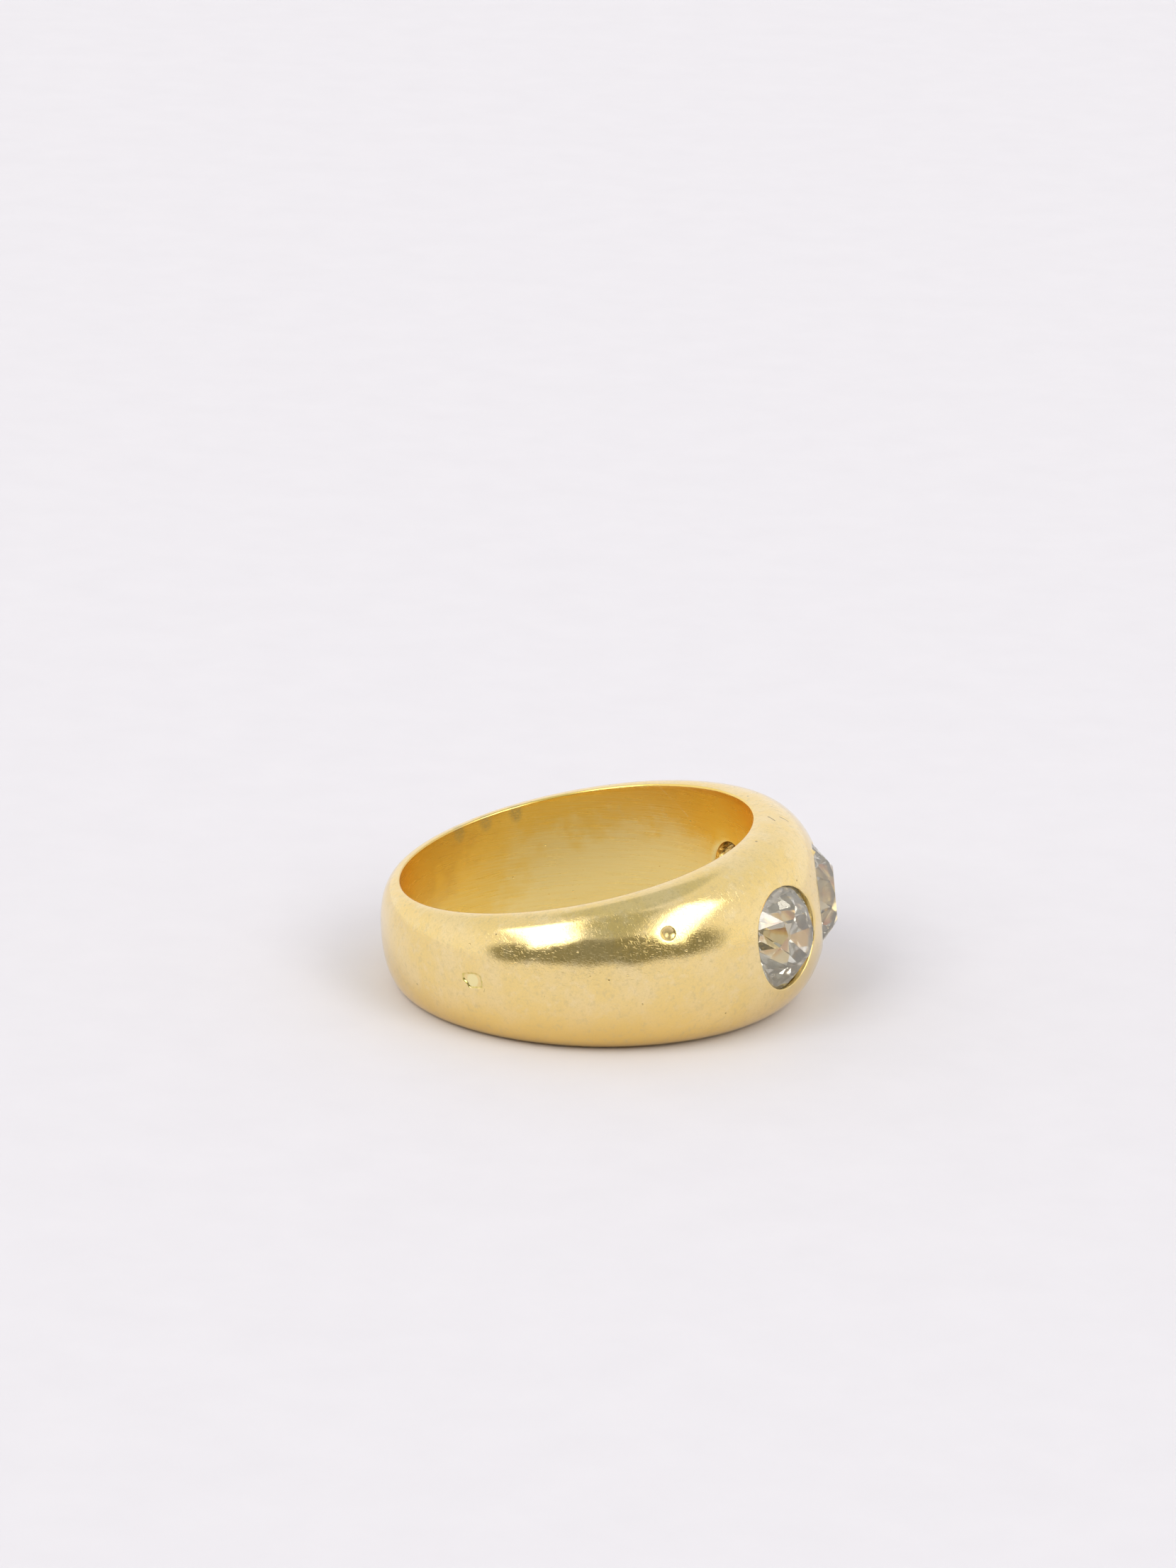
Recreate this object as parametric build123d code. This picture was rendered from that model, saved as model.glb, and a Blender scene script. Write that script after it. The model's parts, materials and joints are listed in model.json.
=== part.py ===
from build123d import *
import math
import os

# A broad gold band with three diamonds let into its front, in the gypsy (flush) style.
# Millimetres. The origin is the centre of the finger bore, half way across the band.
# +Z runs along the finger and +X points out through the centre stone.
# Both rims are flat planes that spread towards the front, so the band is wedge-shaped
# and lies tilted on its lower rim.

# --- Band -------------------------------------------------------------------
BORE_R = 9.0            # finger bore, 18 mm across
SIDE_HALF_WIDTH = 3.63  # half the band's width where a rim crosses the finger axis
RIM_SLOPE = 0.105       # how far each rim plane spreads per millimetre towards +X
SIDE_THICKNESS = 2.30   # wall at the crest, on the +Y and -Y sides
FRONT_GAIN = 1.10       # added to that wall at the front, and taken off at the back
RIM_EDGE = 0.15         # level strip between the bore and the foot of the dome
RIM_POLISH = 0.010      # taken off each rim, which leaves one true, narrow plane
DOME_POWER = 2.35       # 2 would make the dome's section an ellipse; more is squarer
BLANK_INSET = 0.5       # the blank runs this far inside the bore before it is bored
SECTIONS_ROUND = 24     # dome sections around the ring
SECTION_STEPS = 12      # points along each dome section

# --- Stones and their seats -------------------------------------------------
STONE_SPREAD = 30.8     # degrees from the centre stone to each side stone
STONE_LIFT = 0.14       # the three seats were cut this far above the middle of the band
CENTRE_STONE_R = 2.70   # girdle radius of the centre stone
SIDE_STONE_R = 2.62     # girdle radius of each side stone
GIRDLE_DEPTH = 0.66     # girdle plane below the band's crest
GIRDLE = 0.14           # height of the girdle band
CLEARANCE = 0.02        # gap between a stone and its seat
LIP_OVERLAP = 0.06      # the burnished lip reaches this far in over the girdle
AZURE_R = 1.55          # opening behind each stone, through to the bore
BEARING_SLOPE = 44.0    # degrees, the cone that the stone's back sits in
TOOL_HEIGHT = 3.0       # reach of the seat cutter above the girdle

# --- Facets of an old European cut ------------------------------------------
FOLD = 8                # main facets around the crown and around the pavilion
CROWN_HEIGHT = 1.12     # table above the girdle band's middle
MAIN_SLOPE = 38.0       # degrees, crown mains
STAR_SLOPE = 24.0       # degrees, star facets around the table
PAVILION_SLOPE = 41.5   # degrees, pavilion mains
LOWER_HALF_REACH = 0.58 # how far the lower halves run from the girdle to the axis
CULET_R = 0.26          # the open culet at the point
TABLE_TILT = 1.2        # degrees, the hand-cut tables are a little out of level


def crest_radius(angle):
    """Outside radius of the band at its crest, for an angle (radians) from +X."""
    return BORE_R + SIDE_THICKNESS + FRONT_GAIN * math.cos(angle)


def rim_height(x):
    """Height of the upper rim plane above the origin's level."""
    return SIDE_HALF_WIDTH + RIM_SLOPE * x


def section_point(angle, radius, share):
    """A point of the section at an angle: share runs from 1 at the upper rim to -1."""
    x = radius * math.cos(angle)
    return Vector(x, radius * math.sin(angle), share * rim_height(x))


def dome_point(angle, turn):
    """A point on the dome: turn runs from 0 at the upper rim to pi at the lower."""
    foot = BORE_R + RIM_EDGE
    rise = crest_radius(angle) - foot
    return section_point(angle, foot + rise * math.sin(turn) ** (2 / DOME_POWER), math.cos(turn))


def band_section(angle):
    """Closed outline of the band's section in the half-plane at an angle."""
    inner = BORE_R - BLANK_INSET
    foot = BORE_R + RIM_EDGE
    turns = [math.pi * step / SECTION_STEPS for step in range(1, SECTION_STEPS)]
    upper_foot = section_point(angle, foot, 1)
    lower_foot = section_point(angle, foot, -1)
    upper_inner = section_point(angle, inner, 1)
    lower_inner = section_point(angle, inner, -1)
    points = [upper_foot] + [dome_point(angle, turn) for turn in turns] + [lower_foot]
    ends = [(upper_foot - upper_inner).normalized(), (lower_inner - lower_foot).normalized()]
    dome = Edge.make_spline(points, tangents=ends, scale=False)
    return Wire([
        Edge.make_line(upper_inner, upper_foot),
        dome,
        Edge.make_line(lower_foot, lower_inner),
        Edge.make_line(lower_inner, upper_inner),
    ])


def band_blank():
    """The domed band with its bore and its two rim planes, before any seat is cut."""
    sections = [band_section(2 * math.pi * k / SECTIONS_ROUND) for k in range(SECTIONS_ROUND)]
    blank = Solid.make_loft(sections + sections[:1])
    blank = blank - Cylinder(BORE_R, 4 * SIDE_HALF_WIDTH)
    for side in (1, -1):
        rim = Plane(
            origin=(0, 0, side * (SIDE_HALF_WIDTH - RIM_POLISH)),
            z_dir=(-RIM_SLOPE, 0, side),
        )
        blank = blank.split(rim, keep=Keep.BOTTOM)
    return blank


def seat_place(degrees):
    """Where a stone's girdle sits: its own +Z points outward and its +X along the finger."""
    angle = math.radians(degrees)
    outward = Vector(math.cos(angle), math.sin(angle), 0)
    centre = outward * (crest_radius(angle) - GIRDLE_DEPTH) + Vector(0, 0, STONE_LIFT)
    return Plane(origin=centre, x_dir=(0, 0, 1), z_dir=outward).location


def seat_cutter(girdle_r):
    """Everything that is cut away for one stone, about the stone's own axis."""
    groove_r = girdle_r + CLEARANCE
    open_r = girdle_r - LIP_OVERLAP
    groove_top = GIRDLE / 2 + CLEARANCE
    bearing_depth = groove_top + (groove_r - AZURE_R) * math.tan(math.radians(BEARING_SLOPE))
    outline = Polyline(
        (0, TOOL_HEIGHT),
        (open_r, TOOL_HEIGHT),
        (open_r, groove_top + groove_r - open_r),
        (groove_r, groove_top),
        (groove_r, -groove_top),
        (AZURE_R, -bearing_depth),
        (AZURE_R, -BORE_R / 2),
        (0, -BORE_R / 2),
        close=True,
    )
    return revolve(Plane.XZ * make_face(outline), Axis.Z)


def facet(stone, azimuth, slope, radius, height):
    """Grind one flat, square to an azimuth, through a point at that radius and height.

    A crown slope is positive and a pavilion slope negative, both in degrees from level.
    """
    bearing = math.radians(azimuth)
    lean = math.radians(abs(slope))
    side = 1 if slope > 0 else -1
    reach = Vector(math.cos(bearing), math.sin(bearing), 0)
    normal = reach * math.sin(lean) + Vector(0, 0, side * math.cos(lean))
    flat = Plane(origin=reach * radius + Vector(0, 0, height), z_dir=normal)
    return stone.split(flat, keep=Keep.BOTTOM)


def half_facet(girdle_r, meet_radius, meet_height):
    """Slope and starting radius of the small facets between two mains.

    Each runs from its chord of the girdle to the point where two mains meet, which
    lies half a main's step round and at the given radius and height.
    """
    quarter_step = math.radians(90 / FOLD)
    chord = girdle_r * math.cos(quarter_step)
    run = chord - meet_radius * math.cos(quarter_step)
    return math.degrees(math.atan2(meet_height - GIRDLE / 2, run)), chord


def old_cut_stone(girdle_r):
    """One faceted diamond, table up, with the middle of its girdle at the origin."""
    step = 360 / FOLD
    half_step = math.cos(math.radians(step / 2))
    main = math.tan(math.radians(MAIN_SLOPE))
    star = math.tan(math.radians(STAR_SLOPE))
    pavilion = math.tan(math.radians(PAVILION_SLOPE))

    # Crown mains run from the girdle to the table's corners; the stars between them
    # run from the table's sides down to where neighbouring mains meet.
    table_corner = girdle_r - (CROWN_HEIGHT - GIRDLE / 2) / main
    table_side = table_corner * half_step
    base = GIRDLE / 2 + girdle_r * main - CROWN_HEIGHT - table_side * star
    upper_meet = base / (half_step * main - star)
    upper_meet_height = CROWN_HEIGHT - (upper_meet - table_side) * star
    upper_slope, chord = half_facet(girdle_r, upper_meet, upper_meet_height)

    lower_meet = girdle_r * (1 - LOWER_HALF_REACH)
    lower_meet_depth = GIRDLE / 2 + (girdle_r - lower_meet * half_step) * pavilion
    lower_slope, chord = half_facet(girdle_r, lower_meet, lower_meet_depth)
    culet_depth = GIRDLE / 2 + (girdle_r - CULET_R) * pavilion

    stone = Cylinder(girdle_r, 2 * girdle_r).solid()
    stone = facet(stone, 0, TABLE_TILT, 0, CROWN_HEIGHT)
    stone = facet(stone, 0, -0.01, 0, -culet_depth)
    for k in range(FOLD):
        azimuth = k * step
        stone = facet(stone, azimuth, MAIN_SLOPE, girdle_r, GIRDLE / 2)
        stone = facet(stone, azimuth + step / 2, STAR_SLOPE, table_side, CROWN_HEIGHT)
        stone = facet(stone, azimuth, -PAVILION_SLOPE, girdle_r, -GIRDLE / 2)
        for side in (1, -1):
            between = azimuth + side * step / 4
            stone = facet(stone, between, upper_slope, chord, GIRDLE / 2)
            stone = facet(stone, between, -lower_slope, chord, -GIRDLE / 2)
    return stone


# Name, place round the ring, girdle radius and turn about its own axis, in degrees.
STONES = [
    ("centre_diamond", 0.0, CENTRE_STONE_R, 27.0),
    ("side_diamond_left", -STONE_SPREAD, SIDE_STONE_R, 20.0),
    ("side_diamond_right", STONE_SPREAD, SIDE_STONE_R, 5.0),
]


def band():
    """The gold band with the three seats cut in it."""
    body = band_blank()
    for _, degrees, girdle_r, _ in STONES:
        body = body - seat_place(degrees) * seat_cutter(girdle_r)
    return body


def main():
    os.makedirs("parts", exist_ok=True)
    export_step(band(), "parts/band.step")
    for name, degrees, girdle_r, turn in STONES:
        stone = seat_place(degrees) * Rotation(0, 0, turn) * old_cut_stone(girdle_r)
        export_step(stone, f"parts/{name}.step")


main()
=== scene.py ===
"""A broad gold ring with three old-cut diamonds let into its front, on a plain pale floor.

Lengths are millimetres until a mesh is written, and MM turns them into metres.
+Z runs along the finger and +X points out through the centre stone, as in the CAD frame.
"""

import json
import math

import bmesh
import bpy
import numpy as np
from mathutils import Matrix, Vector


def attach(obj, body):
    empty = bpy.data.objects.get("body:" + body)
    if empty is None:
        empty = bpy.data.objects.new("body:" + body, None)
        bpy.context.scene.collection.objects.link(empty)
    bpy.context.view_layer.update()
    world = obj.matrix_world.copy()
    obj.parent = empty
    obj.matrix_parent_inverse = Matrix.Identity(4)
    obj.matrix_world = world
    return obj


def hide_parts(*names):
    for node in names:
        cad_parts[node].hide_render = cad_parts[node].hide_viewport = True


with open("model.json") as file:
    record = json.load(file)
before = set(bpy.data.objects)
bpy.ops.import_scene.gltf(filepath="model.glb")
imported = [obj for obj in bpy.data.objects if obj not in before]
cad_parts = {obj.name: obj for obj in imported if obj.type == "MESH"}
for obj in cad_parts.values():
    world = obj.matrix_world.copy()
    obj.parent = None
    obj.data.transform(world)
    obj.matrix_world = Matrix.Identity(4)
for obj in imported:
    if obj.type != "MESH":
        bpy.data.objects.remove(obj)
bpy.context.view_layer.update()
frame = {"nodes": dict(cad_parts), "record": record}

MM = 0.001

# --- The band, as in the CAD frame ------------------------------------------
MOUNTS = {mount["name"]: mount for mount in frame["record"]["mounts"]}
BORE_R = MOUNTS["finger_bore"]["dims"]["r_mm"]
REST_NORMAL = MOUNTS["rest_face"]["axis"]
RIM_SLOPE = REST_NORMAL[0] / REST_NORMAL[2]
REST_X, _, REST_Z = (value / MM for value in MOUNTS["rest_face"]["pos_m"])
HALF_WIDTH = -REST_Z - RIM_SLOPE * REST_X
SIDE_THICKNESS = 2.30
FRONT_GAIN = 1.10
RIM_EDGE = 0.15
RIM_ROUND = 0.10
DOME_POWER = 2.35

# --- Stones and seats ---------------------------------------------------------
STONE_SPREAD = math.radians(30.8)
STONE_LIFT = 0.14
CENTRE_STONE_R = 2.70
SIDE_STONE_R = 2.62
GIRDLE_DEPTH = 0.66
GIRDLE = 0.14
CLEARANCE = 0.02
LIP_OVERLAP = 0.03     # the drawn lip reaches this far in over the girdle
LIP_GAP = 0.03         # from the crown to the underside of the lip
LEAST_STEP = 0.01      # keeps two loops of the seat apart
AZURE_R = 1.55
AZURE_ROUND = 0.14
BEARING_SLOPE = math.radians(44.0)
CROWN_SLOPE = math.radians(42.0)

# --- Mesh density -------------------------------------------------------------
PATCH = 32           # cells along each side of the square around a stone
SHOULDER = 9         # rows between that square and each rim
BORE_MARGIN = 5      # rows between the square inside the bore and each rim
PATCH_TURN = 0.86    # radians of the dome's section, either side of the crest, in the square
BORE_PATCH = 2.45    # half height of the square inside the bore
DOME_LOOPS = 10      # loops between the square and a lip
BORE_LOOPS = 6       # loops between an azure opening and its square
MARK_CELLS = 8       # cells along each side of the square around a small mark
QUARTER = math.pi / 2
FOOT_TURNS = (0.10, 0.19)
SHOULDER_TURN = 0.30
RIM_TURNS = (0.0, 0.35, 0.75, 1.15, QUARTER)
LIP_TURNS = (0.3, 0.6, 0.9, 1.2, QUARTER)
AZURE_TURNS = (0.4, 0.8, 1.2, QUARTER)
SHARP_EDGE = math.radians(38)
SEAT_PASSES = 12     # steps that settle a seat's points on the dome
MARK_PASSES = 8      # and a small mark's
SHARE_STEP = 0.01    # how far up the dome its direction is measured

# Slight unevenness of the hand finish: (size in mm, times round the ring, lean, start).
FINISH_WAVES = [
    (0.010, 5, 2.1, 0.0),
    (0.008, 9, -3.3, 1.0),
    (0.004, 23, 5.0, 0.4),
    (0.003, 31, -9.0, 0.0),
]


def crest_radius(angle):
    """Outside radius of the band at its crest."""
    return BORE_R + SIDE_THICKNESS + FRONT_GAIN * np.cos(angle)


def hand_finish(angle, share):
    """Unevenness of a surface that was filed and polished by hand, none at the rims."""
    total = 0.0
    for size, times, lean, start in FINISH_WAVES:
        total = total + size * np.sin(times * angle + lean * share + start)
    return total * np.sqrt(np.clip(1 - share * share, 0, 1))


def dome_radius(angle, share):
    """Outside radius where share is the height over the rim's height, from -1 to 1."""
    foot = BORE_R + RIM_EDGE
    profile = np.clip(1 - share * share, 0, 1) ** (1 / DOME_POWER)
    return foot + (crest_radius(angle) - foot) * profile + hand_finish(angle, share)


def rim_height(x):
    """Height of the upper rim over the middle of the band."""
    return HALF_WIDTH + RIM_SLOPE * x


def ring_point(angle, radius, share):
    """Points of the band from an angle, a radius and a share of the rim's height."""
    x = radius * np.cos(angle)
    return np.stack([x, radius * np.sin(angle) + 0 * share, share * rim_height(x)], axis=-1)


def dome_point(angle, share):
    """Points of the dome."""
    return ring_point(angle, dome_radius(angle, share), share)


def off_dome(points):
    """How far points stand proud of the dome, measured from the finger's axis."""
    radius = np.hypot(points[..., 0], points[..., 1])
    angle = np.arctan2(points[..., 1], points[..., 0])
    return radius - dome_radius(angle, points[..., 2] / rim_height(points[..., 0]))


def blend(one, other, share):
    """Straight from one to the other."""
    return one + (other - one) * share


class Seat:
    """The frame of one stone: p runs along the finger, q round the ring, w outward."""

    def __init__(self, angle, girdle_r, off_round, lip_round, grains):
        self.angle = angle
        self.girdle_r = girdle_r
        self.off_round = off_round
        self.end_round, self.side_round = lip_round
        self.grains = grains
        self.outward = np.array([math.cos(self.angle), math.sin(self.angle), 0.0])
        self.round = np.array([-math.sin(self.angle), math.cos(self.angle), 0.0])
        self.reach = crest_radius(self.angle) - GIRDLE_DEPTH

    def point(self, p, q, w):
        """A place of the seat in the band's frame."""
        p, q, w = (np.asarray(value, float)[..., None] for value in (p, q, w))
        up = np.array([0.0, 0.0, 1.0])
        return (self.reach + w) * self.outward + q * self.round + (p + STONE_LIFT) * up

    def at(self, radius, bearings, w):
        """Places at a radius and bearings about the stone's own axis."""
        return self.point(radius * np.cos(bearings), radius * np.sin(bearings), w)

    def local(self, points):
        """p and q of places in the band's frame."""
        return points[..., 2] - STONE_LIFT, points @ self.round

    def on_dome(self, p, q):
        """Height w of the dome over the girdle plane, with any grains raised on it."""
        w = np.full(np.shape(p), GIRDLE_DEPTH)
        for _ in range(SEAT_PASSES):
            w = w - off_dome(self.point(p, q, w))
        for bearing, distance, height, width in self.grains:
            near = (p - distance * math.cos(bearing)) ** 2 + (q - distance * math.sin(bearing)) ** 2
            w = w + height * np.exp(-near / (2 * width * width))
        return w

    def dome_at(self, radius, bearings):
        """Height w of the dome at a radius and bearings about the stone's axis."""
        return self.on_dome(radius * np.cos(bearings), radius * np.sin(bearings))

    def on_bore(self, q):
        """Height w of the bore's wall, which lies below the girdle plane."""
        return np.sqrt(BORE_R * BORE_R - q * q) - self.reach

    def lip_round(self, bearing):
        """Radius of the lip's rounding, from its ends along the finger to its sides."""
        return blend(self.end_round, self.side_round, np.sin(bearing) ** 2)

    def lip_radius(self, bearing):
        """Radius of the hand-cut opening, a little off round."""
        radius = np.full(np.shape(bearing), self.girdle_r - LIP_OVERLAP)
        for times, size, turn in self.off_round:
            radius = radius + size * np.cos(times * bearing - math.radians(turn))
        return radius


class GridMesh:
    """A ring of rows and columns, closed both ways, with squares cut out for features."""

    def __init__(self, grid):
        self.columns, self.rows = grid.shape[:2]
        self.points = [grid.reshape(-1, 3)]
        self.count = self.columns * self.rows
        self.open = np.ones((self.columns, self.rows), bool)
        self.quads = []
        self.fans = []

    def add(self, points):
        """Adds loose points and returns their numbers."""
        first = self.count
        self.points.append(points)
        self.count += len(points)
        return np.arange(first, self.count)

    def cut(self, first_column, last_column, top_row, bottom_row):
        """Opens a square and returns the loop of its border, from its top left corner.

        The top row may come after the bottom one, as it does inside the bore.
        """
        low, high = sorted((top_row, bottom_row))
        columns = np.arange(first_column, last_column) % self.columns
        self.open[np.ix_(columns, np.arange(low, high))] = False
        step = 1 if bottom_row > top_row else -1
        across = range(first_column, last_column)
        down = range(top_row, bottom_row, step)
        back = range(last_column, first_column, -1)
        up = range(bottom_row, top_row, -step)
        corners = [(c, top_row) for c in across]
        corners += [(last_column, r) for r in down]
        corners += [(c, bottom_row) for c in back]
        corners += [(first_column, r) for r in up]
        return np.array([(c % self.columns) * self.rows + r for c, r in corners])

    def place(self, loop):
        """The places of a loop's points."""
        return np.concatenate(self.points)[loop]

    def join(self, one, other):
        """Faces between two loops of the same length."""
        self.quads.append(np.stack([one, np.roll(one, -1), np.roll(other, -1), other], axis=1))

    def rings(self, loop, rings):
        """Joins loop after loop of points, each as long as the first."""
        for points in rings:
            new = self.add(points)
            self.join(loop, new)
            loop = new
        return loop

    def cap(self, loop, middle):
        """Closes a loop with a fan round one middle point."""
        centre = self.add(middle[None])[0]
        self.fans.append(np.stack([loop, np.roll(loop, -1), np.full(len(loop), centre)], axis=1))

    def build(self, name):
        """Writes the mesh, in metres and without the points that no face uses."""
        index = np.arange(self.columns * self.rows).reshape(self.columns, self.rows)
        right = np.roll(index, -1, axis=0)
        body = np.stack([index, right, np.roll(right, -1, axis=1), np.roll(index, -1, axis=1)], axis=-1)
        quads = np.concatenate([body[self.open]] + self.quads)
        points = np.concatenate(self.points)
        faces = quads.tolist() + [face for fan in self.fans for face in fan.tolist()]
        used = np.unique(np.concatenate([np.array(face) for face in faces]))
        order = np.zeros(len(points), int)
        order[used] = np.arange(len(used))
        faces = [[int(order[corner]) for corner in face] for face in faces]
        mesh = bpy.data.meshes.new(name)
        mesh.from_pydata((points[used] * MM).tolist(), [], faces)
        return mesh


def square_bearings(cells):
    """Bearings round a square's border, evenly stepped along each side."""
    return np.array([QUARTER * (step / cells - 0.5) for step in range(4 * cells)])


def band_columns():
    """Angles of the columns, starting where the first stone's square starts."""
    start = -1.5 * STONE_SPREAD
    square = STONE_SPREAD / PATCH
    plain = 2 * math.pi - 3 * STONE_SPREAD
    cells = round(plain / square)
    head = [start + square * k for k in range(3 * PATCH)]
    tail = [-start + plain * k / cells for k in range(cells)]
    return np.array(head + tail)


def band_rows():
    """Turns of the dome's section from the upper rim, over the crest, to the lower rim."""
    top = list(np.linspace(SHOULDER_TURN, QUARTER - PATCH_TURN, SHOULDER + 1)[:-1])
    middle = list(np.linspace(QUARTER - PATCH_TURN, QUARTER + PATCH_TURN, PATCH + 1))
    upper = [*FOOT_TURNS, *top]
    return np.array(upper + middle + [math.pi - turn for turn in reversed(upper)])


def rim_rows(angle, side):
    """The rounded corner between the bore and a rim, from the bore outward."""
    rows = []
    for turn in RIM_TURNS:
        radius = BORE_R + RIM_ROUND * (1 - math.cos(turn))
        x = radius * np.cos(angle)
        height = rim_height(x) - RIM_ROUND * (1 - math.sin(turn))
        rows.append(np.stack([x, radius * np.sin(angle), side * height], axis=-1))
    return rows


def bore_levels(columns):
    """Heights of the bore's rows, from the lower rim up, with the square for the openings."""
    edge = rim_height(BORE_R * np.cos(columns)) - RIM_ROUND
    low, high = STONE_LIFT - BORE_PATCH, STONE_LIFT + BORE_PATCH
    levels = [blend(-edge, low, cell / BORE_MARGIN) for cell in range(1, BORE_MARGIN)]
    for cell in range(PATCH + 1):
        levels.append(np.full(len(columns), low + 2 * BORE_PATCH * cell / PATCH))
    return levels + [blend(high, edge, cell / BORE_MARGIN) for cell in range(1, BORE_MARGIN)]


def band_grid(columns):
    """Grid points (column, row) and the row numbers that the squares need.

    The rows run over the upper rim, down the dome, over the lower rim and up the bore.
    """
    rows = rim_rows(columns, 1)
    square_top = len(rows) + len(FOOT_TURNS) + SHOULDER
    for turn in band_rows():
        rows.append(dome_point(columns, np.full(len(columns), math.cos(turn))))
    rows += reversed(rim_rows(columns, -1))
    bore_bottom = len(rows) + BORE_MARGIN - 1
    for level in bore_levels(columns):
        rows.append(np.stack([BORE_R * np.cos(columns), BORE_R * np.sin(columns), level], axis=-1))
    return np.stack(rows, axis=1), square_top, bore_bottom


def lip_rings(seat, bearings, border):
    """Loops over the dome from its square to a lip, and round the lip's edge."""
    lip, lip_round = seat.lip_radius(bearings), seat.lip_round(bearings)
    start = lip + lip_round
    p0, q0 = seat.local(border)
    rings = []
    for loop in range(1, DOME_LOOPS + 1):
        share = loop / DOME_LOOPS
        p = blend(p0, start * np.cos(bearings), share)
        q = blend(q0, start * np.sin(bearings), share)
        rings.append(seat.point(p, q, seat.on_dome(p, q)))
    for turn in LIP_TURNS:
        radius = lip + lip_round * (1 - math.sin(turn))
        w = seat.dome_at(radius, bearings) - lip_round * (1 - math.cos(turn))
        rings.append(seat.at(radius, bearings, w))
    return rings


def bearing_rings(seat, bearings):
    """Loops down the lip's wall, round the girdle's groove and down the tapered bearing."""
    lip = seat.lip_radius(bearings)
    level = 0 * lip
    wall_top = seat.dome_at(lip, bearings) - seat.lip_round(bearings)
    over_crown = np.maximum(seat.girdle_r - lip, 0) * math.tan(CROWN_SLOPE)
    wall_foot = np.minimum(GIRDLE / 2 + over_crown + LIP_GAP, wall_top - LEAST_STEP)
    rings = [seat.at(lip, bearings, blend(wall_top, wall_foot, share)) for share in (0.5, 1.0)]
    groove = seat.girdle_r + CLEARANCE
    groove_half = GIRDLE / 2 + CLEARANCE
    for side in (1, -1):
        rings.append(seat.at(np.maximum(groove, lip + LEAST_STEP), bearings, side * groove_half + level))
    for share in (0.35, 0.7, 1.0):
        w = blend(-groove_half, -bearing_depth(seat), share)
        rings.append(seat.at(blend(groove, AZURE_R, share) + level, bearings, w + level))
    return rings


def bearing_depth(seat):
    """Depth below the girdle plane where the bearing meets the azure opening."""
    return GIRDLE / 2 + CLEARANCE + (seat.girdle_r + CLEARANCE - AZURE_R) * math.tan(BEARING_SLOPE)


def azure_rings(seat, bearings, border):
    """Loops down the azure opening, round its edge and over the bore to its square."""
    sin = np.sin(bearings)
    level = 0 * bearings
    mouth = seat.on_bore(AZURE_R * sin) + AZURE_ROUND
    rings = []
    for share in (0.3, 0.6, 0.85, 1.0):
        rings.append(seat.at(AZURE_R + level, bearings, blend(-bearing_depth(seat), mouth, share)))
    for turn in AZURE_TURNS:
        radius = AZURE_R + AZURE_ROUND * (1 - math.cos(turn))
        w = seat.on_bore(radius * sin) + AZURE_ROUND * (1 - math.sin(turn))
        rings.append(seat.at(radius + level, bearings, w))
    edge = AZURE_R + AZURE_ROUND
    p1, q1 = seat.local(border)
    for loop in range(1, BORE_LOOPS):
        share = loop / BORE_LOOPS
        p = blend(edge * np.cos(bearings), p1, share)
        q = blend(edge * sin, q1, share)
        rings.append(seat.point(p, q, seat.on_bore(q)))
    return rings


def mark_directions(angle, share):
    """A mark's middle, and its directions up the dome, round the ring and inward."""
    spot = dome_point(angle, share)
    around = np.array([-math.sin(angle), math.cos(angle), 0.0])
    ahead = dome_point(angle, share + SHARE_STEP)
    along = (ahead - spot) / np.linalg.norm(ahead - spot)
    inward = np.cross(around, along)
    return spot, along, around, inward * -np.sign(inward @ spot)


def mark_square(grid, columns, angle, share):
    """Opens the square of the grid that is nearest to a place on the dome."""
    row = int(np.argmin(np.abs(np.cos(band_rows()) - share))) + len(RIM_TURNS)
    column = int(np.argmin(np.abs(np.angle(np.exp(1j * (columns - angle))))))
    half = MARK_CELLS // 2
    return grid.cut(column - half, column + half, row - half, row + half)


def sink(grid, columns, place, outline, profile):
    """Presses one small mark into the dome.

    outline gives the mark's radius for each bearing, and profile its steps from the
    border inward as (share of that radius, depth).
    """
    angle, share = math.radians(place[0]), place[1]
    loop = mark_square(grid, columns, angle, share)
    spot, along, around, inward = mark_directions(angle, share)

    def surface(p, q):
        """Points of the dome that lie over (p, q) of the mark's own plane."""
        points = spot + p[:, None] * along + q[:, None] * around
        for _ in range(MARK_PASSES):
            points = points + off_dome(points)[:, None] * inward
        return points

    bearings = square_bearings(MARK_CELLS)
    p1, q1 = outline(bearings) * np.cos(bearings), outline(bearings) * np.sin(bearings)
    border = grid.place(loop) - spot
    first = profile[0][0]
    rings = []
    for nearer in (0.5, 1.0):
        p = blend(border @ along, first * p1, nearer)
        q = blend(border @ around, first * q1, nearer)
        rings.append(surface(p, q))
    for size, depth in profile[1:]:
        rings.append(surface(size * p1, size * q1) + depth * inward)
    grid.cap(grid.rings(loop, rings), spot + profile[-1][1] * inward)


# How far the hand-cut lips are off round: (times round, size in mm, turn in degrees).
# The near side lip's are rounded readings of the photograph, and the others are invented.
OVAL, THREE_CORNERED = 2, 3
SIDE_OFF_ROUND = [(OVAL, 0.05, -60), (THREE_CORNERED, 0.04, -120)]
CENTRE_OFF_ROUND = [(OVAL, 0.025, 40), (THREE_CORNERED, 0.025, 120)]
FAR_OFF_ROUND = [(OVAL, 0.035, 120), (THREE_CORNERED, 0.025, 40)]

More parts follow.
